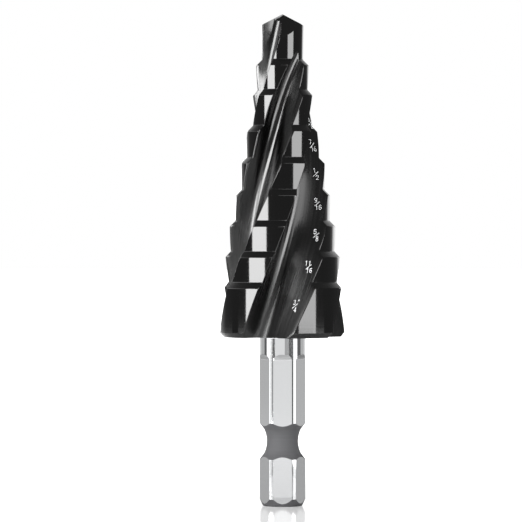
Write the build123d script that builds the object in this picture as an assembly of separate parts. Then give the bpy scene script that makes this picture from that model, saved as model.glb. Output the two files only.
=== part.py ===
from build123d import *
import os
from math import cos, radians, sin, sqrt, tan

# Step drill with four helical flutes and a hex shank, turned and ground from one bar of tool steel.
# It stands on the end of its shank: the origin is the centre of that flat end, +Z runs to the point.
# Azimuths are in degrees about +Z, counted from the front (-Y) towards the right (+X).

# Driving dimensions, in millimetres and degrees

# Stepped cutter, from the point to the rear
TIP_DIAMETER = 6.35
STEP_RISE = 1.5875
STEP_LENGTHS = (6.2, 4.5, 5.4, 4.8, 4.8, 4.65, 4.6, 4.6, 7.4)
RAMP_ANGLE = 45.0
BACK_TAPER = 1.0
REAR_CHAMFER = 0.7

# Flutes: an L-shaped gullet whose rake wall is radial and whose root is rounded
ROOT_RADIUS_REAR = 5.2
ROOT_RADIUS_TIP = 0.5
ROOT_FILLET_REAR = 1.6
ROOT_FILLET_TIP = 1.05
GULLET_ANGLE = 80.0
LEAD_REAR = 164.0
LEAD_TIP = 82.0
REAR_AZIMUTH = -40.0
SHORT_FLUTE_SETBACK = 14.3
SHORT_FLUTE_SWEEP = 28.0
SHORT_FLUTE_LIFT_ANGLE = 57.0
ROOT_ARCS = 6
FLUTE_STATION = 4.0

# Split point
POINT_ANGLE = 128.0
LIP_RELIEF = 14.0
GASH_ANGLE = 49.0
GASH_AZIMUTH = 126.0
CHISEL_WIDTH = 0.3

# Hex shank
SHANK_LENGTH = 25.4
SHANK_FLATS = 6.3
SHANK_DIAMETER = 6.9
FLAT_LENGTH = 23.5
FLAT_RUNOUT_RADIUS = 1.6
END_DIAMETER = 5.9
END_CHAMFER_LENGTH = 1.1
CENTRE_DRILL_DIAMETER = 2.45
CENTRE_DRILL_ANGLE = 60.0
CENTRE_PILOT_DIAMETER = 1.1
CENTRE_PILOT_DEPTH = 3.0

# Detent groove round the shank
GROOVE_HEIGHT = 9.75
GROOVE_DIAMETER = 4.7
GROOVE_WIDTH = 3.6
GROOVE_MOUTH_DIAMETER = 5.5
GROOVE_FLARE_ANGLE = 38.0

# Worked out from the driving dimensions

STEP_COUNT = len(STEP_LENGTHS)
STEP_RADII = [(TIP_DIAMETER + number * STEP_RISE) / 2 for number in range(STEP_COUNT)]
CUTTER_LENGTH = sum(STEP_LENGTHS)
TIP_CORNER = SHANK_LENGTH + CUTTER_LENGTH
CORNERS = [TIP_CORNER - sum(STEP_LENGTHS[:number]) for number in range(STEP_COUNT)]
TIP_RADIUS = STEP_RADII[0]
REAR_RADIUS = STEP_RADII[-1]
POINT_HEIGHT = TIP_RADIUS / tan(radians(POINT_ANGLE / 2))
POINT_TOP = TIP_CORNER + POINT_HEIGHT
OVERSHOOT = 1.0
WHEEL_ROOM = 1.5
LONG_FLUTE_TOP = POINT_TOP + OVERSHOOT
LIFT_START = TIP_CORNER - SHORT_FLUTE_SETBACK
SHORT_FLUTE_TOP = TIP_CORNER - OVERSHOOT


def direction(azimuth):
    """Level unit vector that points along an azimuth."""
    return Vector(sin(radians(azimuth)), -cos(radians(azimuth)), 0)


def between(height, at_rear, at_tip):
    """A size that changes evenly along the cutter, at one height."""
    share = (height - SHANK_LENGTH) / CUTTER_LENGTH
    return at_rear + (at_tip - at_rear) * share


def envelope_radius(height):
    """Radius of the cone through the steps' corners, level behind the last corner."""
    share = max(0, height - CORNERS[-1]) / (TIP_CORNER - CORNERS[-1])
    return REAR_RADIUS + (TIP_RADIUS - REAR_RADIUS) * share


def rake_azimuth(height):
    """Azimuth of the first flute's rake wall: its lead shortens evenly from rear to tip."""
    run = height - SHANK_LENGTH
    rear_rate = 360 / LEAD_REAR
    tip_rate = 360 / LEAD_TIP
    return REAR_AZIMUTH + rear_rate * run + (tip_rate - rear_rate) * run ** 2 / (2 * CUTTER_LENGTH)


def blank_profile():
    """Half section of the turned cutter: nine steps with ramps between and a chamfered rear."""
    taper = tan(radians(BACK_TAPER))
    ramp = tan(radians(RAMP_ANGLE))
    points = [(0, POINT_TOP + OVERSHOOT), (TIP_RADIUS, POINT_TOP + OVERSHOOT)]
    for number in range(STEP_COUNT - 1):
        corner = CORNERS[number]
        next_corner = CORNERS[number + 1]
        radius = STEP_RADII[number]
        next_radius = STEP_RADII[number + 1]
        # The land narrows towards the rear until the ramp of the next step meets it
        straight = corner - next_corner - (next_radius - radius) / ramp
        fall = straight * taper / (1 + taper / ramp)
        foot = next_corner + (next_radius - radius + fall) / ramp
        points += [(radius, corner), (radius - fall, foot)]
    points.append((REAR_RADIUS, CORNERS[-1]))
    points.append((REAR_RADIUS, SHANK_LENGTH + REAR_CHAMFER))
    points.append((REAR_RADIUS - REAR_CHAMFER, SHANK_LENGTH))
    points.append((0, SHANK_LENGTH))
    return Plane.XZ * make_face(Polyline(*points, close=True))


def gullet_section(height, lift):
    """Cross-section that the flute's wheel clears at one height, lifted out of the work by lift."""
    outer = envelope_radius(height) + WHEEL_ROOM
    fillet = between(height, ROOT_FILLET_REAR, ROOT_FILLET_TIP)
    rake = Vector(1, 0)
    heel = Vector(cos(radians(GULLET_ANGLE)), sin(radians(GULLET_ANGLE)))
    lift_way = Vector(cos(radians(SHORT_FLUTE_LIFT_ANGLE)), sin(radians(SHORT_FLUTE_LIFT_ANGLE)))
    root = rake * between(height, ROOT_RADIUS_REAR, ROOT_RADIUS_TIP) + lift_way * lift

    def reach(way):
        along = root.dot(way)
        return root + way * (sqrt(outer ** 2 - root.dot(root) + along ** 2) - along)

    tangent = fillet / tan(radians(GULLET_ANGLE / 2))
    rake_end = root + rake * tangent
    centre = rake_end + Vector(0, fillet)
    # The fillet is laid in short equal arcs, because the floor that they loft to then needs few facets
    sweep = 180 - GULLET_ANGLE
    bow = [
        centre + (rake_end - centre).rotate(Axis.Z, -sweep * part / (2 * ROOT_ARCS))
        for part in range(2 * ROOT_ARCS + 1)
    ]
    rake_mouth = reach(rake)
    heel_mouth = reach(heel)
    crown_turn = radians((rake_mouth.get_angle(rake) + heel_mouth.get_angle(rake)) / 2)
    crown = Vector(outer * cos(crown_turn), outer * sin(crown_turn))
    edges = [
        Line(rake_mouth, rake_end),
        *[ThreePointArc(*bow[part:part + 3]) for part in range(0, 2 * ROOT_ARCS, 2)],
        Line(bow[-1], heel_mouth),
        ThreePointArc(heel_mouth, crown, rake_mouth),
    ]
    station = Plane(origin=(0, 0, height), x_dir=direction(rake_azimuth(height)), z_dir=(0, 0, 1))
    return station * make_face(edges)


def flute(top, short):
    """Volume that one flute clears, from below the rear face to its top."""
    bottom = SHANK_LENGTH - OVERSHOOT
    count = round((top - bottom) / FLUTE_STATION)
    sections = []
    for number in range(count + 1):
        height = bottom + (top - bottom) * number / count
        rise = max(0, height - LIFT_START) if short else 0
        sections.append(gullet_section(height, rise ** 2 / (2 * SHORT_FLUTE_SWEEP)))
    return loft(sections)


def beyond(point, normal):
    """All the room on one side of a plane, as a block far larger than the drill."""
    room = 2 * (POINT_TOP + REAR_RADIUS)
    block = Box(room, room, room, align=(Align.CENTER, Align.CENTER, Align.MIN))
    return Plane(origin=point, z_dir=normal) * block


def point_cuts(lip_azimuth):
    """What is ground off behind one lip: its relief facet and the gash that splits the point."""
    top = Vector(0, 0, POINT_TOP)
    up = Vector(0, 0, 1)
    lip = direction(lip_azimuth)
    behind = direction(lip_azimuth - 90)
    lip_fall = 1 / tan(radians(POINT_ANGLE / 2))
    relief = beyond(top, up + lip * lip_fall + behind * tan(radians(LIP_RELIEF)))
    gash_way = direction(lip_azimuth - GASH_AZIMUTH)
    heel_facet = beyond(top, up + gash_way * tan(radians(GASH_ANGLE)))
    wall = beyond(top + behind * (CHISEL_WIDTH / 2), behind)
    return relief, heel_facet & wall


def shank():
    """Turned shank with six ground flats, a detent groove, a chamfered end and a centre hole."""
    radius = SHANK_DIAMETER / 2
    end_radius = END_DIAMETER / 2
    body = Plane.XZ * make_face(Polyline(
        (0, 0),
        (end_radius, 0),
        (radius, END_CHAMFER_LENGTH),
        (radius, SHANK_LENGTH + OVERSHOOT),
        (0, SHANK_LENGTH + OVERSHOOT),
        close=True,
    ))
    stock = revolve(body, Axis.Z)

    # Each flat is ground by a wheel that leaves a curved run-out below the round neck
    depth = SHANK_DIAMETER
    wheel = Plane.XZ * make_face([
        Line((SHANK_FLATS / 2, -OVERSHOOT), (SHANK_FLATS / 2, FLAT_LENGTH - FLAT_RUNOUT_RADIUS)),
        TangentArc(
            (SHANK_FLATS / 2, FLAT_LENGTH - FLAT_RUNOUT_RADIUS),
            (SHANK_FLATS / 2 + FLAT_RUNOUT_RADIUS, FLAT_LENGTH),
            tangent=(0, 1),
        ),
        Line((SHANK_FLATS / 2 + FLAT_RUNOUT_RADIUS, FLAT_LENGTH), (SHANK_FLATS / 2 + depth, FLAT_LENGTH)),
        Line((SHANK_FLATS / 2 + depth, FLAT_LENGTH), (SHANK_FLATS / 2 + depth, -OVERSHOOT)),
        Line((SHANK_FLATS / 2 + depth, -OVERSHOOT), (SHANK_FLATS / 2, -OVERSHOOT)),
    ])
    flat = extrude(wheel, amount=SHANK_DIAMETER / 2, both=True)
    for number in range(6):
        stock -= Rot(Z=60 * number + 30) * flat
    return stock - groove() - centre_hole()


def groove():
    """Ring that is turned out of the shank for a chuck's detent ball."""
    floor = GROOVE_DIAMETER / 2
    mouth = GROOVE_MOUTH_DIAMETER / 2
    half = GROOVE_WIDTH / 2
    rim = SHANK_DIAMETER / 2 + OVERSHOOT
    flare = (rim - mouth) / tan(radians(GROOVE_FLARE_ANGLE))
    low = GROOVE_HEIGHT - half
    high = GROOVE_HEIGHT + half
    ring = make_face([
        Line((rim, low - flare), (mouth, low)),
        Bezier((mouth, low), (2 * floor - mouth, GROOVE_HEIGHT), (mouth, high)),
        Line((mouth, high), (rim, high + flare)),
        Line((rim, high + flare), (rim, low - flare)),
    ])
    return revolve(Plane.XZ * ring, Axis.Z)


def centre_hole():
    """Centre-drilled hole in the shank's end, which the drill was ground between centres on."""
    mouth = CENTRE_DRILL_DIAMETER / 2
    pilot = CENTRE_PILOT_DIAMETER / 2
    cone = (mouth - pilot) / tan(radians(CENTRE_DRILL_ANGLE / 2))
    outline = Polyline(
        (0, 0),
        (mouth, 0),
        (pilot, cone),
        (pilot, CENTRE_PILOT_DEPTH),
        (0, CENTRE_PILOT_DEPTH + pilot * tan(radians(90 - POINT_ANGLE / 2))),
        close=True,
    )
    return revolve(Plane.XZ * make_face(outline), Axis.Z)


def step_drill():
    """The whole drill as one solid."""
    drill = revolve(blank_profile(), Axis.Z)
    lip_azimuth = rake_azimuth(TIP_CORNER)
    for lip in range(2):
        for cut in point_cuts(lip_azimuth + 180 * lip):
            drill -= cut
    long_flute = flute(LONG_FLUTE_TOP, short=False)
    short_flute = flute(SHORT_FLUTE_TOP, short=True)
    for pair in range(2):
        drill -= Rot(Z=180 * pair) * long_flute
        drill -= Rot(Z=180 * pair + 90) * short_flute
    return drill + shank()


os.makedirs("parts", exist_ok=True)
export_step(step_drill(), "parts/step_drill.step")
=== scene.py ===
# Step drill: black stepped cutter with four helical flutes on a bright hex shank.
# The drill stands on the end of its shank, as in the CAD frame: +Z to the point, -Y to the viewer.
# Sizes are in millimetres and are scaled to metres where an object is made.
# Azimuths are in degrees about +Z, counted from the front (-Y) towards the right (+X).

from math import acos, atan2, ceil, copysign, cos, degrees, pi, radians, sin, sqrt, tan

import bmesh
import bpy
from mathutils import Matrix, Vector


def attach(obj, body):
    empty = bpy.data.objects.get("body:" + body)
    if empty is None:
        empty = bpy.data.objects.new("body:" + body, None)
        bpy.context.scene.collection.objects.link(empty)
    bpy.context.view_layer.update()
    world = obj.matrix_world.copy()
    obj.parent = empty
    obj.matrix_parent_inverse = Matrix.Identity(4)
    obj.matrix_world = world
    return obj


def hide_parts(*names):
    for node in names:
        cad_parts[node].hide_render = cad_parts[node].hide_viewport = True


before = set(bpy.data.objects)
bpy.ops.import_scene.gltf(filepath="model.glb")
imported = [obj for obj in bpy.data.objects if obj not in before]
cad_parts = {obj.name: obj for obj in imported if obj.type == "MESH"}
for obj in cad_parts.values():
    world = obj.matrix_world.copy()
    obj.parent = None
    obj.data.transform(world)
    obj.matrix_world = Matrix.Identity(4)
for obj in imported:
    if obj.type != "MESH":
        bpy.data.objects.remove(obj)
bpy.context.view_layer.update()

MM = 0.001

# Stepped cutter
TIP_DIAMETER = 6.35
STEP_RISE = 1.5875
STEP_LENGTHS = (6.2, 4.5, 5.4, 4.8, 4.8, 4.65, 4.6, 4.6, 7.4)
BACK_TAPER = 1.0
REAR_CHAMFER = 0.7
BLANK_SPARE = 1.0

# Flutes
FLUTE_COUNT = 4
ROOT_RADIUS_REAR = 5.2
ROOT_RADIUS_TIP = 0.5
ROOT_FILLET_REAR = 1.6
ROOT_FILLET_TIP = 1.05
GULLET_ANGLE = 80.0
LEAD_REAR = 164.0
LEAD_TIP = 82.0
REAR_AZIMUTH = -40.0
SHORT_FLUTE_SETBACK = 14.3
SHORT_FLUTE_SWEEP = 28.0
SHORT_FLUTE_LIFT_ANGLE = 57.0

# Split point
POINT_ANGLE = 128.0
LIP_RELIEF = 14.0
GASH_ANGLE = 49.0
GASH_AZIMUTH = 126.0
CHISEL_WIDTH = 0.3

# Hex shank
SHANK_LENGTH = 25.4
SHANK_FLATS = 6.3
SHANK_DIAMETER = 6.9
FLAT_COUNT = 6
FLAT_LENGTH = 23.5
FLAT_RUNOUT_RADIUS = 1.6
END_DIAMETER = 5.9
END_CHAMFER_LENGTH = 1.1
CENTRE_DRILL_DIAMETER = 2.45
CENTRE_DRILL_ANGLE = 60.0
CENTRE_PILOT_DIAMETER = 1.1
CENTRE_PILOT_DEPTH = 3.0
GROOVE_HEIGHT = 9.75
GROOVE_DIAMETER = 4.7
GROOVE_WIDTH = 3.6
GROOVE_MOUTH_DIAMETER = 5.5
GROOVE_FLARE_ANGLE = 38.0

# Broken edges: the hair-fine rounding that a real ground edge has
CUTTER_EDGE = 0.07
SHANK_EDGE = 0.05

# Broken rims of the shank: how far along the axis each runs on its cone and on the round bar, and at the
# end face how far in, out and up
RIM_ON_CONE = 0.03
RIM_ON_BAR = 0.04
END_RIM_IN = 0.06
END_RIM_OUT = 0.02
END_RIM_UP = 0.05

# Small fillet between the neck and the cutter's rear face, and how far its middle lies from its corner
NECK_FILLET = 0.12
NECK_FILLET_SAG = 0.035

# Values that follow from the sizes above
STEP_COUNT = len(STEP_LENGTHS)
STEP_RADII = [(TIP_DIAMETER + number * STEP_RISE) / 2 for number in range(STEP_COUNT)]
REAR_FACE_RADIUS = STEP_RADII[-1] - REAR_CHAMFER
CUTTER_LENGTH = sum(STEP_LENGTHS)
TIP_CORNER = SHANK_LENGTH + CUTTER_LENGTH
CORNERS = [TIP_CORNER - sum(STEP_LENGTHS[:number]) for number in range(STEP_COUNT)]
POINT_TOP = TIP_CORNER + STEP_RADII[0] / tan(radians(POINT_ANGLE / 2))
BLANK_TOP = POINT_TOP + BLANK_SPARE
LIFT_START = TIP_CORNER - SHORT_FLUTE_SETBACK
FLUTE_TURN = 360 / FLUTE_COUNT
FLAT_TURN = 360 / FLAT_COUNT
RUNOUT_START = FLAT_LENGTH - FLAT_RUNOUT_RADIUS

# How finely the surfaces are divided
RING_SPACING = 0.45
RAKE_PARTS = 4
ROOT_PARTS = 10
HEEL_PARTS = 8
LAND_PARTS = 8
FLUTE_COLUMNS = RAKE_PARTS + ROOT_PARTS + HEEL_PARTS
QUARTER_COLUMNS = FLUTE_COLUMNS + LAND_PARTS + 2
FLAT_PARTS = 8
CORNER_PARTS = 12
SECTOR_COLUMNS = FLAT_PARTS + CORNER_PARTS + 2
GROOVE_PARTS = 12
CONE_PARTS = 8
RUNOUT_PARTS = 14
PILOT_TIP_RADIUS = 0.02

# Search for the two places where a flute's section crosses the blank's circle
SEARCH_START = -12.0
SEARCH_STOP = 16.0
NARROWINGS = 50
HALVINGS = 40
TOUCH = 1e-4

# Mesh work: the wedge that clears a gash, and what is welded, dropped or cut as one point
WEDGE_SIZE = 24
WELD = 0.0015
SLIVER = 0.0005
CUT_TOLERANCE = 1e-8

# Shading: the sharpest fold that stays smooth, and how strictly a face is taken as plane, cone or cylinder
SMOOTH_ANGLE = 50
LARGE_FACE_WEIGHT = 90
FLAT_LEAN = 0.02
REAR_FACING = -0.95
ROUND_LEAN = 0.1
TRUE_ANGLE = 9
CORNER_TOLERANCE = 0.005

# Finishes, in the order of their slots on the drill's mesh
LAND, RAMP, FLUTE, FACET, FLAT, TURNED, GROOVE = range(7)


def direction(azimuth):
    """Level unit vector that points along an azimuth."""
    return Vector((sin(radians(azimuth)), -cos(radians(azimuth)), 0))


def spot_at(azimuth, radius, height):
    """Point at a distance from the drill's axis."""
    return direction(azimuth) * radius + Vector((0, 0, height))


def placed(spot, azimuth, height):
    """Point of a flute's level section, turned to an azimuth and lifted to a height."""
    return direction(azimuth) * spot.x + direction(azimuth + 90) * spot.y + Vector((0, 0, height))


def spread(start, stop, parts):
    """Evenly spaced values from start to stop."""
    return [start + (stop - start) * part / parts for part in range(parts + 1)]


def between(height, at_rear, at_tip):
    """A size that changes evenly along the cutter, at one height."""
    return at_rear + (at_tip - at_rear) * (height - SHANK_LENGTH) / CUTTER_LENGTH


def rake_azimuth(height):
    """Azimuth of the first flute's rake wall."""
    run = height - SHANK_LENGTH
    rear_rate = 360 / LEAD_REAR
    return REAR_AZIMUTH + rear_rate * run + (360 / LEAD_TIP - rear_rate) * run ** 2 / (2 * CUTTER_LENGTH)


def blank_corners():
    """Corners of the turned cutter's half section from the rear up, with the finish above each."""
    taper = tan(radians(BACK_TAPER))
    corners = [
        (REAR_FACE_RADIUS, SHANK_LENGTH, RAMP),
        (STEP_RADII[-1], SHANK_LENGTH + REAR_CHAMFER, LAND),
        (STEP_RADII[-1], CORNERS[-1], RAMP),
    ]
    for number in range(STEP_COUNT - 2, -1, -1):
        step = STEP_RADII[number + 1] - STEP_RADII[number]
        fall = (CORNERS[number] - CORNERS[number + 1] - step) * taper / (1 + taper)
        corners.append((STEP_RADII[number] - fall, CORNERS[number + 1] + step + fall, LAND))
        corners.append((STEP_RADII[number], CORNERS[number], RAMP if number else LAND))
    corners.append((STEP_RADII[0], BLANK_TOP, LAND))
    return corners


def rings_along(corners):
    """(radius, height, finish) up a turned outline, with each inner corner broken into a narrow band."""
    rings = []
    for number in range(len(corners) - 1):
        low, high = Vector(corners[number][:2]), Vector(corners[number + 1][:2])
        length = (high - low).length
        start = 0 if number == 0 else CUTTER_EDGE
        stop = length if number == len(corners) - 2 else length - CUTTER_EDGE
        parts = max(1, ceil((stop - start) / RING_SPACING))
        for way in spread(start, stop, parts):
            radius, height = low.lerp(high, way / length)
            rings.append((radius, height, corners[number][2]))
    return rings


class Gullet:
    """One flute's cross-section at one height, followed by distance from the middle of its root."""

    def __init__(self, height, lift):
        lift_turn = radians(SHORT_FLUTE_LIFT_ANGLE)
        root_radius = between(height, ROOT_RADIUS_REAR, ROOT_RADIUS_TIP)
        root = Vector((root_radius + lift * cos(lift_turn), lift * sin(lift_turn)))
        self.fillet = between(height, ROOT_FILLET_REAR, ROOT_FILLET_TIP)
        self.heel = Vector((cos(radians(GULLET_ANGLE)), sin(radians(GULLET_ANGLE))))
        tangent = self.fillet / tan(radians(GULLET_ANGLE / 2))
        self.rake_end = root + Vector((tangent, 0))
        self.heel_end = root + self.heel * tangent
        self.centre = self.rake_end + Vector((0, self.fillet))
        self.half = self.fillet * radians(180 - GULLET_ANGLE) / 2

    def point(self, way):
        """Point at a signed distance from the root's middle: the rake wall is below zero."""
        if way < -self.half:
            return self.rake_end + Vector((-self.half - way, 0))
        if way > self.half:
            return self.heel_end + self.heel * (way - self.half)
        turn = -pi / 2 - (way + self.half) / self.fillet
        return self.centre + Vector((cos(turn), sin(turn))) * self.fillet

    def mouth(self, radius):
        """Where the section crosses the blank's circle, or its lowest point twice if it clears it."""
        low, high = SEARCH_START, SEARCH_STOP
        for _ in range(NARROWINGS):
            third = (high - low) / 3
            if self.point(low + third).length < self.point(high - third).length:
                high -= third
            else:
                low += third
        bottom = (low + high) / 2
        if self.point(bottom).length >= radius - TOUCH:
            return bottom, bottom
        return self.crossing(bottom, -SEARCH_STOP, radius), self.crossing(bottom, SEARCH_STOP, radius)

    def crossing(self, inside, outside, radius):
        """Where the section leaves the blank's circle, on the way from inside to outside."""
        for _ in range(HALVINGS):
            middle = (inside + outside) / 2
            if self.point(middle).length < radius:
                inside = middle
            else:
                outside = middle
        return inside


def flute_mouths(radius, height):
    """Each flute at one height: its section, its rake and heel ends, and the land angles beside them."""
    mouths = []
    for number in range(FLUTE_COUNT):
        # Every second flute is short, and is lifted out of the work on an arc
        rise = max(0, height - LIFT_START) if number % 2 else 0
        gullet = Gullet(height, rise ** 2 / (2 * SHORT_FLUTE_SWEEP))
        rake, heel = gullet.mouth(radius)
        # Where a flute is very narrow, each of its broken edges takes a sixth of it
        edge = min(CUTTER_EDGE, (heel - rake) / 6)
        start = gullet.point(rake)
        stop = gullet.point(heel)
        turn = FLUTE_TURN * number
        first = degrees(atan2(start.y, start.x)) + turn
        last = degrees(atan2(stop.y, stop.x)) + turn
        band = degrees(edge / radius)
        mouths.append((gullet, rake + edge, heel - edge, first - band, last + band))
    return mouths


def cutter_ring(radius, height):
    """One ring round the cutter: (point, distance across the flute) for each of its columns."""
    ring = []
    mouths = flute_mouths(radius, height)
    for number in range(FLUTE_COUNT):
        gullet, rake, heel, _, last = mouths[number]
        turn = rake_azimuth(height) + FLUTE_TURN * number
        low, high = max(rake, -gullet.half), min(heel, gullet.half)
        ways = spread(rake, max(rake, min(low, heel)), RAKE_PARTS)
        ways += spread(low, high, ROOT_PARTS)[1:]
        ways += spread(max(high, rake), heel, HEEL_PARTS)[1:]
        for way in ways:
            spot = gullet.point(way)
            if rake == heel:
                # The flute has run out here, and the blank is round
                spot = spot.normalized() * radius
            ring.append((placed(spot, turn, height), way))
        following = mouths[(number + 1) % FLUTE_COUNT][3] + (360 if number == FLUTE_COUNT - 1 else 0)
        for angle in spread(last, following, LAND_PARTS):
            ring.append((spot_at(rake_azimuth(height) + angle, radius, height), 0))
    return ring


def build_cutter(mesh, flute_map):
    """Adds the fluted cutter to the mesh, mapped by distance across each flute and by height."""
    below = None
    for radius, height, finish in rings_along(blank_corners()):
        ring = cutter_ring(radius, height)
        verts = [mesh.verts.new(point * MM) for point, _ in ring]
        ways = [way for _, way in ring]
        if below:
            low_verts, low_ways, low_finish, low_height = below
            for column in range(len(ring)):
                following = (column + 1) % len(ring)
                quad = (low_verts[column], low_verts[following], verts[following], verts[column])
                face = mesh.faces.new(quad)
                in_flute = column % QUARTER_COLUMNS < FLUTE_COLUMNS
                face.material_index = FLUTE if in_flute else low_finish
                # A land has no distance across a flute, so its map stays at zero
                spots = (low_ways[column], low_ways[following], ways[following], ways[column])
                heights = (low_height, low_height, height, height)
                for loop, spot, level in zip(face.loops, spots, heights):
                    loop[flute_map].uv = (spot if in_flute else 0, level)
        below = (verts, ways, finish, height)


def groove_corners():
    """Half section of the detent groove, from its lower rim up."""
    mouth = GROOVE_MOUTH_DIAMETER / 2
    half = GROOVE_WIDTH / 2
    depth = mouth - GROOVE_DIAMETER / 2
    bow = (half ** 2 + depth ** 2) / (2 * depth)
    flare = (SHANK_DIAMETER / 2 - mouth) / tan(radians(GROOVE_FLARE_ANGLE))
    sweep = degrees(atan2(half, bow - depth))
    corners = [(SHANK_DIAMETER / 2, GROOVE_HEIGHT - half - flare)]
    for turn in spread(-sweep, sweep, GROOVE_PARTS):
        corners.append((
            GROOVE_DIAMETER / 2 + bow - bow * cos(radians(turn)),
            GROOVE_HEIGHT + bow * sin(radians(turn)),
        ))
    corners.append((SHANK_DIAMETER / 2, GROOVE_HEIGHT + half + flare))
    return corners


def flat_distance(height):
    """How far the six flats lie from the axis: they run out on the wheel's arc below the neck."""
    if height <= RUNOUT_START:
        return SHANK_FLATS / 2
    climb = min(height - RUNOUT_START, FLAT_RUNOUT_RADIUS)
    return SHANK_FLATS / 2 + FLAT_RUNOUT_RADIUS - sqrt(FLAT_RUNOUT_RADIUS ** 2 - climb ** 2)


def shank_ring(radius, height, flats):
    """One ring round the shank: six flats with the turned corners between them."""
    distance = flat_distance(height) if flats else radius
    half = degrees(acos(distance / radius)) if distance < radius else 0
    # Where a flat is very narrow, each of its broken edges takes a third of its half
    edge = min(degrees(SHANK_EDGE / radius), half / 3)
    ring = []
    for number in range(FLAT_COUNT):
        middle = FLAT_TURN * number
        for angle in spread(-half + edge, half - edge, FLAT_PARTS):
            reach = min(radius, distance / cos(radians(angle)))
            ring.append(spot_at(middle + angle, reach, height))
        for angle in spread(half + edge, FLAT_TURN - half - edge, CORNER_PARTS):
            ring.append(spot_at(middle + angle, radius, height))
    return ring


def cone_rows(radii, height_at, edge):
    """Rows of a cone on which the flats open, from the narrowest, with the widest moved for its edge."""
    rows = [(radius, height_at(radius), GROOVE, True) for radius in radii]
    rows[-1] = (radii[-1], height_at(radii[-1]) + edge, GROOVE, True)
    return rows


def shank_rows():
    """(radius, height, finish above, flats) of each ring, from the centre hole's bottom outwards and up."""
    mouth = CENTRE_DRILL_DIAMETER / 2
    pilot = CENTRE_PILOT_DIAMETER / 2
    radius = SHANK_DIAMETER / 2
    flat = SHANK_FLATS / 2
    end = END_DIAMETER / 2
    rows = [
        (PILOT_TIP_RADIUS, CENTRE_PILOT_DEPTH + pilot * tan(radians(90 - POINT_ANGLE / 2)), TURNED, False),
        (pilot, CENTRE_PILOT_DEPTH, TURNED, False),
        (pilot, (mouth - pilot) / tan(radians(CENTRE_DRILL_ANGLE / 2)), TURNED, False),
        (mouth, 0, TURNED, False),
        (end - END_RIM_IN, 0, TURNED, False),
        (end + END_RIM_OUT, END_RIM_UP, GROOVE, False),
    ]

    # On a cone the flats open from nothing, so its rings follow their opening
    widest = acos(flat / radius)
    opening = [flat / cos(widest * part / CONE_PARTS) for part in range(CONE_PARTS + 1)]
    chamfer_slope = END_CHAMFER_LENGTH / (radius - end)
    flare_slope = 1 / tan(radians(GROOVE_FLARE_ANGLE))
    groove = groove_corners()
    low, top = groove[0][1], groove[-1][1]
    rows += cone_rows(opening, lambda ring: (ring - end) * chamfer_slope, -RIM_ON_CONE)
    rows.append((radius, END_CHAMFER_LENGTH + RIM_ON_BAR, TURNED, True))
    rows.append((radius, low - RIM_ON_BAR, TURNED, True))

    # The groove's lower flare, its bow and its upper flare
    rows += cone_rows(opening, lambda ring: low + (radius - ring) * flare_slope, RIM_ON_CONE)[::-1]
    rows += [(ring, height, GROOVE, False) for ring, height in groove[1:-1]]
    rows += cone_rows(opening, lambda ring: top - (radius - ring) * flare_slope, -RIM_ON_CONE)
    rows.append((radius, top + RIM_ON_BAR, TURNED, True))

    # The flats' run-outs, then the round neck and its fillet
    rows.append((radius, RUNOUT_START, TURNED, True))
    for part in range(1, RUNOUT_PARTS + 1):
        distance = radius * cos(widest * (1 - part / RUNOUT_PARTS))
        climb = sqrt(FLAT_RUNOUT_RADIUS ** 2 - (flat + FLAT_RUNOUT_RADIUS - distance) ** 2)
        rows.append((radius, RUNOUT_START + climb, TURNED, True))
    rows.append((radius, SHANK_LENGTH - NECK_FILLET, TURNED, False))
    rows.append((radius + NECK_FILLET_SAG, SHANK_LENGTH - NECK_FILLET_SAG, TURNED, False))
    rows.append((radius + NECK_FILLET, SHANK_LENGTH, TURNED, False))
    return rows


def build_shank(mesh):
    """Adds the hex shank to the mesh, from its centre hole to the neck."""
    below = None
    for radius, height, finish, flats in shank_rows():
        verts = [mesh.verts.new(point * MM) for point in shank_ring(radius, height, flats)]
        if below:
            low_verts, low_finish, low_flats = below
            for column in range(len(verts)):
                following = (column + 1) % len(verts)
                quad = (low_verts[column], low_verts[following], verts[following], verts[column])
                on_flat = column % SECTOR_COLUMNS < FLAT_PARTS and flats and low_flats
                mesh.faces.new(quad).material_index = FLAT if on_flat else low_finish
        else:
            mesh.faces.new(verts).material_index = TURNED
        below = (verts, finish, flats)


def open_rims(mesh):
    """The edges that have a face on one side only."""
    return [edge for edge in mesh.edges if edge.is_boundary]


def close_rim(mesh, edges, finish):
    """Closes open rims with flat faces."""
    for item in bmesh.ops.triangle_fill(mesh, use_beauty=True, edges=edges)["geom"]:
        if isinstance(item, bmesh.types.BMFace):
            item.material_index = finish


def grind(mesh, point, normal, finish):
    """Grinds off all that lies beyond a plane and leaves a flat facet."""
    bmesh.ops.bisect_plane(
        mesh,
        geom=mesh.verts[:] + mesh.edges[:] + mesh.faces[:],
        dist=CUT_TOLERANCE,
        plane_co=point,
        plane_no=normal,
        clear_outer=True,
    )
    close_rim(mesh, open_rims(mesh), finish)


def point_frame(lip):
    """Up, lip, behind and gash directions at the point, for one of the two lips."""
    azimuth = rake_azimuth(TIP_CORNER) + 180 * lip
    return Vector((0, 0, 1)), direction(azimuth), direction(azimuth - 90), direction(azimuth - GASH_AZIMUTH)


def as_piece(name, mesh, finishes):
    """Turns finished mesh work into an object with its materials."""
    data = bpy.data.meshes.new(name)
    for finish in finishes:
        data.materials.append(finish)
    mesh.to_mesh(data)
    mesh.free()
    piece = bpy.data.objects.new(name, data)
    bpy.context.scene.collection.objects.link(piece)
    return piece


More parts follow.
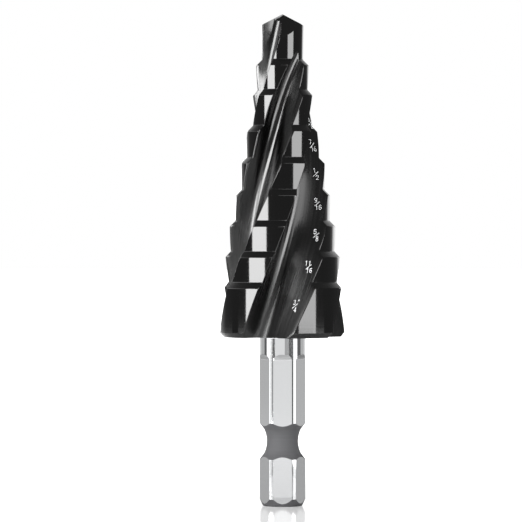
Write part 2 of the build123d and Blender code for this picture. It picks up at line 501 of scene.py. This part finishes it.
def gash_wedges(finishes):
    """The two wedges that the gashes clear at the point, as one closed mesh object."""
    whole = bmesh.new()
    top = Vector((0, 0, POINT_TOP)) * MM
    for lip in range(2):
        up, _, behind, gash = point_frame(lip)
        wedge = bmesh.new()
        bmesh.ops.create_cube(wedge, size=WEDGE_SIZE * MM)
        for vert in wedge.verts:
            vert.co += top
        grind(wedge, top, -(up + gash * tan(radians(GASH_ANGLE))), FACET)
        grind(wedge, top + behind * (CHISEL_WIDTH / 2) * MM, -behind, FACET)
        for face in wedge.faces:
            face.material_index = FACET
        bmesh.ops.recalc_face_normals(wedge, faces=wedge.faces)
        part = bpy.data.meshes.new("gash_wedge")
        wedge.to_mesh(part)
        wedge.free()
        whole.from_mesh(part)
        bpy.data.meshes.remove(part)
    return as_piece("gash_wedges", whole, finishes)


def applied(piece):
    """Replaces a piece's mesh by what its modifiers make of it."""
    graph = bpy.context.evaluated_depsgraph_get()
    graph.update()
    shaped = piece.evaluated_get(graph)
    mesh = bpy.data.meshes.new_from_object(shaped, preserve_all_data_layers=True, depsgraph=graph)
    old = piece.data
    piece.modifiers.clear()
    piece.data = mesh
    bpy.data.meshes.remove(old)
    mesh.name = piece.name


def make_drill(finishes):
    """The drill as one closed mesh, with its two lips ground and its gashes still to come."""
    mesh = bmesh.new()
    build_cutter(mesh, mesh.loops.layers.uv.new("along_flute"))
    build_shank(mesh)
    bmesh.ops.remove_doubles(mesh, verts=mesh.verts[:], dist=WELD * MM)
    bmesh.ops.dissolve_degenerate(mesh, edges=mesh.edges[:], dist=SLIVER * MM)

    # The rim at the blank's top is closed first, then the ring between the neck and the cutter's rear edge
    rims = open_rims(mesh)
    high = [edge for edge in rims if edge.verts[0].co.z > TIP_CORNER * MM]
    low = [edge for edge in rims if edge.verts[0].co.z < TIP_CORNER * MM]
    close_rim(mesh, high, LAND)
    close_rim(mesh, low, RAMP)
    apex = Vector((0, 0, POINT_TOP)) * MM
    for lip in range(2):
        up, lip_way, behind, _ = point_frame(lip)
        slope = up + lip_way / tan(radians(POINT_ANGLE / 2)) + behind * tan(radians(LIP_RELIEF))
        grind(mesh, apex, slope.normalized(), FACET)
    bmesh.ops.recalc_face_normals(mesh, faces=mesh.faces[:])
    return as_piece("drill", mesh, finishes)


def cut_gashes(drill, finishes):
    """Grinds the two gashes at the point and splits the many-sided facets into triangles."""
    tool = gash_wedges(finishes)
    cut = drill.modifiers.new("gashes", "BOOLEAN")
    cut.operation = "DIFFERENCE"
    cut.solver = "EXACT"
    cut.object = tool
    applied(drill)
    bpy.data.objects.remove(tool)
    mesh = bmesh.new()
    mesh.from_mesh(drill.data)
    bmesh.ops.dissolve_degenerate(mesh, edges=mesh.edges[:], dist=SLIVER * MM)
    bmesh.ops.triangulate(mesh, faces=[face for face in mesh.faces if len(face.verts) > 4])
    for face in mesh.faces:
        face.smooth = True
    mesh.to_mesh(drill.data)
    mesh.free()


def shade(drill):
    """Keeps the real edges sharp, lets large faces rule small ones and shades plain forms exactly."""
    drill.data.set_sharp_from_angle(angle=radians(SMOOTH_ANGLE))
    normals = drill.modifiers.new("normals", "WEIGHTED_NORMAL")
    normals.keep_sharp = True
    normals.weight = LARGE_FACE_WEIGHT
    applied(drill)
    use_true_normals(drill.data)


def true_normal(face, spot):
    """Normal of the plane, cone or cylinder that a face belongs to, at one of its corners."""
    finish, facing = face.material_index, face.normal
    out = Vector((spot.x, spot.y, 0)).normalized()
    if finish == FLAT and abs(facing.z) < FLAT_LEAN:
        return facing
    if finish == RAMP and facing.z < REAR_FACING:
        return Vector((0, 0, -1))
    if finish == RAMP:
        return (out + Vector((0, 0, copysign(1, facing.z)))).normalized()
    if finish in (LAND, TURNED) and abs(facing.z) < ROUND_LEAN:
        # The rear land and the shank are straight, and the other lands have the back taper
        tapered = face.center.z > CORNERS[-1] * MM
        return (out - Vector((0, 0, tan(radians(BACK_TAPER)) if tapered else 0))).normalized()
    return None


def use_true_normals(mesh):
    """Shades planes, cones and cylinders as what they are, so that only the broken edges look round."""
    normals = [Vector(corner.vector) for corner in mesh.corner_normals]
    for face in mesh.polygons:
        for loop in face.loop_indices:
            spot = mesh.vertices[mesh.loops[loop].vertex_index].co
            true = true_normal(face, spot)
            if true is None:
                continue
            if true.dot(face.normal) > cos(radians(TRUE_ANGLE)):
                normals[loop] = true
            elif face.material_index == TURNED and face.center.z < RUNOUT_START * MM:
                # A broken edge of the hex turns from its flat's normal to its corner's
                on_corner = abs(spot.xy.length - SHANK_DIAMETER / 2 * MM) < CORNER_TOLERANCE * MM
                flat = round(degrees(atan2(spot.x, -spot.y)) / FLAT_TURN) * FLAT_TURN
                normals[loop] = true if on_corner else direction(flat)
    mesh.normals_split_custom_set(normals)


# Size marks: one stroke figure for each digit, in a box 4 wide and 6 high
FIGURE_WIDTH = 4
FIGURE_HEIGHT = 6
FIGURES = {
    "1": [[(1.2, 4.8), (2.4, 6.0), (2.4, 0.0)]],
    "2": [[(0.3, 4.6), (0.7, 5.6), (1.7, 6.0), (2.9, 5.8), (3.6, 4.9), (3.3, 3.7), (0.3, 0.0), (3.7, 0.0)]],
    "3": [[(0.4, 5.2), (1.2, 5.9), (2.4, 6.0), (3.4, 5.3), (3.3, 4.0), (2.2, 3.2), (3.5, 2.4), (3.6, 1.0),
           (2.5, 0.1), (1.2, 0.1), (0.3, 0.9)]],
    "4": [[(3.0, 0.0), (3.0, 6.0), (0.2, 1.7), (3.9, 1.7)]],
    "5": [[(3.5, 6.0), (0.8, 6.0), (0.5, 3.4), (1.7, 3.8), (2.9, 3.6), (3.7, 2.6), (3.6, 1.1), (2.5, 0.1),
           (1.2, 0.1), (0.3, 0.9)]],
    "6": [[(3.3, 5.6), (2.3, 6.0), (1.0, 5.2), (0.3, 3.3), (0.4, 1.2), (1.4, 0.1), (2.7, 0.1), (3.6, 1.1),
           (3.6, 2.4), (2.6, 3.4), (1.3, 3.3), (0.4, 2.3)]],
    "7": [[(0.3, 6.0), (3.7, 6.0), (1.5, 0.0)]],
    "8": [[(2.0, 3.2), (0.8, 4.0), (0.7, 5.2), (1.5, 6.0), (2.5, 6.0), (3.3, 5.2), (3.2, 4.0), (2.0, 3.2),
           (0.6, 2.3), (0.4, 1.0), (1.4, 0.0), (2.6, 0.0), (3.6, 1.0), (3.4, 2.3), (2.0, 3.2)]],
    "9": [[(0.7, 0.4), (1.7, 0.0), (3.0, 0.8), (3.7, 2.7), (3.6, 4.8), (2.6, 5.9), (1.3, 5.9), (0.4, 4.9),
           (0.4, 3.6), (1.4, 2.6), (2.7, 2.7), (3.6, 3.7)]],
    "in": [[(0.6, 6.6), (0.3, 5.0)], [(2.0, 6.6), (1.7, 5.0)]],
}

# Upper and lower number of each mark, its height on the flute and its distance from the root's middle
SIZE_MARKS = (
    ("3", "8", 57.6, 3.25),
    ("7", "16", 54.2, 3.0),
    ("1", "2", 49.9, 3.5),
    ("9", "16", 45.4, 4.0),
    ("5", "8", 40.7, 4.7),
    ("11", "16", 36.0, 4.85),
    ("3", "4", 30.2, 4.75),
)
DIGIT_HEIGHT = 0.66
DIGIT_WIDTH = 0.42
DIGIT_PITCH = 0.55
DIGIT_GAP = 0.2
UPPER_SHIFT = -0.2
LOWER_SHIFT = 0.16
SLASH = ((-0.4, -0.33), (0.4, 0.33))
INCH_SIGN_SHIFT = 0.42

# A mark's line: its width, its longest straight stretch, how far it stands out and reaches in, and how
# sharp a corner is mitred in full
MARK_WIDTH = 0.07
MARK_STEP = 0.2
MARK_PROUD = 0.01
MARK_DEPTH = 0.03
MITRE_LIMIT = 0.5


def wall_point(way, height, proud):
    """Point on the first flute's heel wall, or just off it."""
    out = Vector((sin(radians(GULLET_ANGLE)), -cos(radians(GULLET_ANGLE))))
    spot = Gullet(height, 0).point(way) + out * proud
    return placed(spot, rake_azimuth(height), height)


def upright_lean(way, height):
    """How far across the wall a line runs for each millimetre up, where it looks upright on the wall."""
    climb = wall_point(way, height + 0.5, 0) - wall_point(way, height - 0.5, 0)
    across = wall_point(way + 0.5, height, 0) - wall_point(way - 0.5, height, 0)
    return climb.dot(across.normalized())


def stroke_sides(stroke):
    """Left and right edge of a stroke at each of its points, mitred at its corners."""
    sides = []
    for number, spot in enumerate(stroke):
        before = (spot - stroke[number - 1]).normalized() if number else None
        after = (stroke[number + 1] - spot).normalized() if number < len(stroke) - 1 else None
        way = ((before or after) + (after or before)).normalized()
        across = Vector((-way.y, way.x))
        stretch = 1 / max(MITRE_LIMIT, across.dot(Vector((-(after or before).y, (after or before).x))))
        end = Vector((0, 0))
        if before is None:
            end = -after * MARK_WIDTH / 2
        if after is None:
            end = before * MARK_WIDTH / 2
        half = across * MARK_WIDTH / 2 * stretch
        sides.append((spot + end + half, spot + end - half))
    return sides


def ribbon(mesh, corners, place):
    """A flat stroke of even width, as a thin closed strip on a surface."""
    corners = [Vector(corner) for corner in corners]
    stroke = corners[:1]
    for start, stop in zip(corners, corners[1:]):
        parts = ceil((stop - start).length / MARK_STEP)
        stroke += [start.lerp(stop, part / parts) for part in range(1, parts + 1)]
    rows = []
    for left, right in stroke_sides(stroke):
        section = ((left, MARK_PROUD), (right, MARK_PROUD), (right, -MARK_DEPTH), (left, -MARK_DEPTH))
        rows.append([mesh.verts.new(place(spot, proud) * MM) for spot, proud in section])
    for low, high in zip(rows, rows[1:]):
        for side in range(4):
            following = (side + 1) % 4
            mesh.faces.new((low[side], low[following], high[following], high[side]))
    mesh.faces.new(rows[0][::-1])
    mesh.faces.new(rows[-1])


def mark_place(way, height):
    """Puts a mark on the wall: its own up is the drill's, and its right is towards the heel edge."""
    lean = upright_lean(way, height)

    def place(spot, proud):
        return wall_point(way + spot.x - spot.y * lean, height + spot.y, proud)

    return place


def make_size_marks(finish):
    """The fractions of an inch that each step cuts, laser-marked one above the other on the flute's wall."""
    mesh = bmesh.new()
    tall, wide = DIGIT_HEIGHT / FIGURE_HEIGHT, DIGIT_WIDTH / FIGURE_WIDTH
    for upper, lower, height, way in SIZE_MARKS:
        place = mark_place(way, height)
        numbers = ((upper, DIGIT_GAP, UPPER_SHIFT), (lower, -DIGIT_GAP - DIGIT_HEIGHT, LOWER_SHIFT))
        for digits, base, shift in numbers:
            start = shift - DIGIT_PITCH * len(digits) / 2 + (DIGIT_PITCH - DIGIT_WIDTH) / 2
            for number, digit in enumerate(digits):
                for stroke in FIGURES[digit]:
                    line = [(start + number * DIGIT_PITCH + x * wide, base + y * tall) for x, y in stroke]
                    ribbon(mesh, line, place)
        ribbon(mesh, SLASH, place)
        # Only the largest size carries the inch sign
        if (upper, lower) == ("3", "4"):
            for stroke in FIGURES["in"]:
                ribbon(mesh, [(INCH_SIGN_SHIFT + x * wide, DIGIT_GAP + y * tall) for x, y in stroke], place)
    bmesh.ops.recalc_face_normals(mesh, faces=mesh.faces[:])
    return as_piece("size_marks", mesh, [finish])


def linear(hex_colour):
    """Scene-linear colour with alpha from an sRGB hex value."""
    def channel(value):
        value /= 255
        return value / 12.92 if value <= 0.04045 else ((value + 0.055) / 1.055) ** 2.4
    return [channel(int(hex_colour[place:place + 2], 16)) for place in (1, 3, 5)] + [1]


def add(tree, kind, inputs=None, **settings):
    """Adds one shader node with its settings, and sets or links its inputs."""
    node = tree.nodes.new("ShaderNode" + kind)
    for name, value in settings.items():
        setattr(node, name, value)
    for name, value in (inputs or {}).items():
        if isinstance(value, bpy.types.NodeSocket):
            tree.links.new(value, node.inputs[name])
        else:
            node.inputs[name].default_value = value
    return node


def new_material(name):
    """An empty node material and its tree."""
    material = bpy.data.materials.new(name)
    material.use_nodes = True
    material.node_tree.nodes.clear()
    return material, material.node_tree


# Colours of the finishes
BLACK_COAT = "#464646"
BRIGHT_STEEL = "#C4C5C6"
MATT_STEEL = "#7A7A7C"
FROSTED_STEEL = "#E4E5E6"

# The wheel runs out at the flutes' rear, and leaves them rougher up to these heights
ROUGH_REAR_FULL = 27
ROUGH_REAR_END = 40


def height_above_end(tree):
    """Height above the shank's end, in metres."""
    place = add(tree, "TexCoord").outputs["Object"]
    return add(tree, "SeparateXYZ", {0: place}).outputs["Z"]


def ring_lines(tree, spacing):
    """Rings round the drill's axis, as a lathe or a cylindrical grinder leaves them.

    Real ones lie closer than a tenth of a millimetre. They are drawn coarser, so that they show.
    """
    per_metre = 1 / (spacing * MM)
    scaled = add(tree, "Math", {0: height_above_end(tree), 1: per_metre}, operation="MULTIPLY").outputs[0]
    return add(tree, "TexNoise", {"W": scaled, "Scale": 1.0, "Detail": 2.0}, noise_dimensions="1D").outputs[0]


def flute_lines(tree, spacing, length):
    """Lines that run along a flute, as its grinding wheel leaves them, drawn coarser and deeper than real."""
    place = add(tree, "UVMap", uv_map="along_flute").outputs[0]
    stretched = add(tree, "Mapping", {"Vector": place, "Scale": (1 / spacing, 1 / length, 1)}).outputs[0]
    inputs = {"Vector": stretched, "Scale": 1.0, "Detail": 2.0}
    return add(tree, "TexNoise", inputs, noise_dimensions="2D").outputs[0]


def machined_steel(name, colour, roughness, lines, depth, swing, rear=0.0):
    """Bare or coated steel with the lines of its tool: depth in millimetres, swing of the roughness."""
    material, tree = new_material(name)
    pattern = lines(tree)
    rough = add(tree, "MapRange", {
        "Value": pattern,
        "To Min": roughness - swing,
        "To Max": roughness + swing,
    })
    if rear:
        more = add(tree, "MapRange", {
            "Value": height_above_end(tree),
            "From Min": ROUGH_REAR_FULL * MM,
            "From Max": ROUGH_REAR_END * MM,
            "To Min": rear,
            "To Max": 0.0,
        })
        rough = add(tree, "Math", {0: rough.outputs[0], 1: more.outputs[0]}, operation="ADD")
    bump = add(tree, "Bump", {"Height": pattern, "Distance": depth * MM, "Strength": 1.0})
    shader = add(tree, "BsdfPrincipled", {
        "Base Color": linear(colour),
        "Metallic": 1.0,
        "Roughness": rough.outputs[0],
        "Normal": bump.outputs[0],
    })
    add(tree, "OutputMaterial", {"Surface": shader.outputs[0]})
    return material


def laser_frosted_steel():
    """Steel that a laser has frosted: pale and matt, so that the marks read from any side."""
    material, tree = new_material("laser_mark")
    shader = add(tree, "BsdfPrincipled", {
        "Base Color": linear(FROSTED_STEEL),
        "Metallic": 0.0,
        "Roughness": 0.8,
    })
    add(tree, "OutputMaterial", {"Surface": shader.outputs[0]})
    return material


# Land: ground round and coated black. The thin coat keeps the polish, so soft boxes show as crisp strips
black_land = machined_steel(
    "black_coated_land", BLACK_COAT, roughness=0.08,
    lines=lambda tree: ring_lines(tree, 0.3), depth=0.0004, swing=0.02)

# Ramp: ground by the wheel's flank and coated. It is satin, so it stays evenly dark beside the lands
black_ramp = machined_steel(
    "black_coated_ramp", BLACK_COAT, roughness=0.24,
    lines=lambda tree: ring_lines(tree, 0.2), depth=0.001, swing=0.04)

# Flute: ground lengthwise by a wheel and coated. Its lines smear the light into soft streaks along it
black_flute = machined_steel(
    "black_coated_flute", BLACK_COAT, roughness=0.19,
    lines=lambda tree: flute_lines(tree, 0.35, 14), depth=0.012, swing=0.1, rear=0.16)

# Facets of the point: ground flat and coated. They are satin, so each holds one even tone
black_facet = machined_steel(
    "black_coated_facet", BLACK_COAT, roughness=0.22,
    lines=lambda tree: ring_lines(tree, 0.2), depth=0.001, swing=0.04)

# Flats of the hex: bare steel, ground. They mirror a little softly, so each flat reads as one bright plane
bright_flat = machined_steel(
    "bright_ground_flat", BRIGHT_STEEL, roughness=0.08,
    lines=lambda tree: ring_lines(tree, 0.4), depth=0.0004, swing=0.02)

# Corners and neck: bare steel, turned and polished. They bend what they mirror into thin light and dark lines
bright_turned = machined_steel(
    "bright_turned_steel", BRIGHT_STEEL, roughness=0.04,
    lines=lambda tree: ring_lines(tree, 0.3), depth=0.0001, swing=0.01)

# Detent groove and chamfer: bare steel, turned and left so. They are matt and grey between the bright flats
bright_groove = machined_steel(
    "turned_groove_steel", MATT_STEEL, roughness=0.85,
    lines=lambda tree: ring_lines(tree, 0.3), depth=0.002, swing=0.03)

drill_finishes = (
    black_land, black_ramp, black_flute, black_facet,
    bright_flat, bright_turned, bright_groove,
)
drill = make_drill(drill_finishes)
cut_gashes(drill, drill_finishes)
shade(drill)
marks = make_size_marks(laser_frosted_steel())

for piece in (drill, marks):
    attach(piece, "root")
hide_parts("step_drill")


# Studio: a pale gloss floor, and a world with a white card behind the drill and grey walls round it
FLOOR_REACH = 3000
FLOOR_DROP = 0.01
FLOOR_COLOUR = "#CCCCCC"

# Near the drill the floor keeps its shadow and its mirror image, and further out the camera sees white
MIRROR_RADIUS = 32
WHITE_RADIUS = 110
MIRROR_LIFT = 0.3

# The world by how far a direction points to the back: 1 is straight behind the drill
WALL_START = 0.6
WALL_FULL = 0.86
FRONT_STRENGTH = 0.2
WALL_STRENGTH = 0.75
CARD_START = 0.965
CARD_FULL = 0.985

# Soft boxes that stand on edge: azimuth, width, bottom, top, radiance and distance
SOFT_BOXES = (
    # Long strips down the cutter's lands
    ("left_box", -52, 121, 19, 125, 12.0, 200),
    ("right_box", 45, 117, 19, 115, 6.8, 200),
    # Light from high up on the walls of the flutes
    ("left_back_box", -98, 436, 90, 220, 1.3, 300),
    ("front_high_box", 15, 280, 145, 225, 3.0, 300),
    # Strips down the lands as they are seen from behind
    ("left_rear_box", -165, 150, 18, 110, 3.0, 300),
    ("right_rear_box", 152, 120, 18, 110, 1.2, 300),
    # Low boxes for the flats of the shank
    ("left_low_box", -74, 62, 0, 22, 1.9, 150),
    ("left_low_fill", -57, 24, 0, 22, 0.9, 150),
    ("right_low_box", 67, 62, 0, 22, 1.9, 150),
    ("front_low_box", -14, 134, 0, 22, 1.05, 150),
    ("front_low_fill", 20, 58, 0, 22, 0.45, 150),
    ("left_back_low_box", -132, 170, 0, 22, 0.53, 150),
    ("right_back_low_box", 132, 170, 0, 22, 0.53, 150),
)

# Cards that lie on the table and throw light up: azimuth, distance, width, depth and radiance
CARDS = (
    ("left_card", -40, 162, 120, 85, 14.0),
    ("right_card", 80, 130, 110, 110, 1.8),
    ("front_card", 0, 80, 90, 142, 0.25),
)
CARD_HEIGHT = 1

# The photograph's frame: its side and the drill's axis and base in pixels, and its scale at the drill
PHOTO_SIDE = 522
PIXELS_PER_MM = 6.65
AXIS_COLUMN = 282.5
BASE_ROW = 505.8
CAMERA_HEIGHT = 42.0
CAMERA_DISTANCE = 550.0
CAMERA_NEAR = 10
SENSOR_WIDTH = 36


def make_floor():
    """Pale gloss floor, a hair below the drill's end."""
    data = bpy.data.meshes.new("floor")
    sides = ((-1, -1), (1, -1), (1, 1), (-1, 1))
    data.from_pydata([(x * FLOOR_REACH * MM, y * FLOOR_REACH * MM, 0) for x, y in sides], [], [(0, 1, 2, 3)])
    floor = bpy.data.objects.new("floor", data)
    bpy.context.scene.collection.objects.link(floor)
    floor.location.z = -FLOOR_DROP * MM
    material, tree = new_material("white_gloss_floor")
    shader = add(tree, "BsdfPrincipled", {"Base Color": linear(FLOOR_COLOUR), "Roughness": 0.1})
    seen = add(tree, "LightPath").outputs["Is Camera Ray"]
    place = add(tree, "TexCoord").outputs["Object"]
    reach = add(tree, "VectorMath", {0: place}, operation="LENGTH").outputs["Value"]
    fade = add(tree, "MapRange", {
        "Value": reach,
        "From Min": MIRROR_RADIUS * MM,
        "From Max": WHITE_RADIUS * MM,
        "To Min": MIRROR_LIFT,
        "To Max": 1.0,
    })
    lift = add(tree, "Math", {0: seen, 1: fade.outputs[0]}, operation="MULTIPLY").outputs[0]
    glow = add(tree, "Emission", {"Strength": lift})
    both = add(tree, "AddShader", {0: shader.outputs[0], 1: glow.outputs[0]})
    add(tree, "OutputMaterial", {"Surface": both.outputs[0]})
    data.materials.append(material)


def make_world():
    """A white card straight behind the drill, pale grey walls beside it and darker ones to the front."""
    world = bpy.data.worlds.new("studio")
    world.use_nodes = True
    tree = world.node_tree
    tree.nodes.clear()
    way = add(tree, "TexCoord").outputs["Generated"]
    back = add(tree, "SeparateXYZ", {0: way}).outputs["Y"]
    wall = add(tree, "MapRange", {
        "Value": back,
        "From Min": WALL_START,
        "From Max": WALL_FULL,
        "To Min": FRONT_STRENGTH,
        "To Max": WALL_STRENGTH,
    })
    behind = add(tree, "MapRange", {"Value": back, "From Min": CARD_START, "From Max": CARD_FULL})

    # The camera sees white all round, and metal sees white only where the card stands
    path = add(tree, "LightPath").outputs
    rays = {0: path["Is Glossy Ray"], 1: path["Is Transmission Ray"]}
    mirrored = add(tree, "Math", rays, operation="MAXIMUM").outputs[0]
    card_seen = add(tree, "Math", {0: behind.outputs[0], 1: mirrored}, operation="MULTIPLY").outputs[0]
    white = add(tree, "Math", {0: path["Is Camera Ray"], 1: card_seen}, operation="MAXIMUM").outputs[0]
    strength = add(tree, "Math", {0: wall.outputs[0], 1: white}, operation="MAXIMUM")
    sky = add(tree, "Background", {"Color": linear("#FFFFFF"), "Strength": strength.outputs[0]})
    add(tree, "OutputWorld", {"Surface": sky.outputs[0]})
    bpy.context.scene.world = world


def soft_light(name, spot, turn, width, depth, radiance):
    """A rectangle of soft light that the camera doesn't see."""
    data = bpy.data.lights.new(name, "AREA")
    data.shape = "RECTANGLE"
    data.size = width * MM
    data.size_y = depth * MM
    data.energy = radiance * pi * data.size * data.size_y
    light = bpy.data.objects.new(name, data)
    bpy.context.scene.collection.objects.link(light)
    light.location = spot * MM
    light.rotation_euler = turn
    light.visible_camera = False


def make_lights():
    """The soft boxes round the drill and the cards on the table."""
    for name, azimuth, width, low, high, radiance, distance in SOFT_BOXES:
        spot = spot_at(azimuth, distance, (low + high) / 2)
        soft_light(name, spot, (pi / 2, 0, radians(azimuth)), width, high - low, radiance)
    for name, azimuth, distance, width, depth, radiance in CARDS:
        spot = spot_at(azimuth, distance, CARD_HEIGHT)
        soft_light(name, spot, (pi, 0, radians(azimuth)), width, depth, radiance)


def make_camera():
    """Camera at the photograph's height and angle, with the drill where it stands in the frame."""
    frame_width = PHOTO_SIDE / PIXELS_PER_MM
    axis_right = (AXIS_COLUMN - PHOTO_SIDE / 2) / PIXELS_PER_MM
    frame_middle = (BASE_ROW - PHOTO_SIDE / 2) / PIXELS_PER_MM
    data = bpy.data.cameras.new("camera")
    data.sensor_width = SENSOR_WIDTH
    data.lens = SENSOR_WIDTH * CAMERA_DISTANCE / frame_width
    data.clip_start = CAMERA_NEAR * MM
    camera = bpy.data.objects.new("camera", data)
    bpy.context.scene.collection.objects.link(camera)
    camera.location = Vector((-axis_right, -CAMERA_DISTANCE, CAMERA_HEIGHT)) * MM
    camera.rotation_euler = (pi / 2 - atan2(CAMERA_HEIGHT - frame_middle, CAMERA_DISTANCE), 0, 0)
    bpy.context.scene.camera = camera


make_floor()
make_world()
make_lights()
make_camera()
bpy.context.scene.view_settings.view_transform = "Standard"
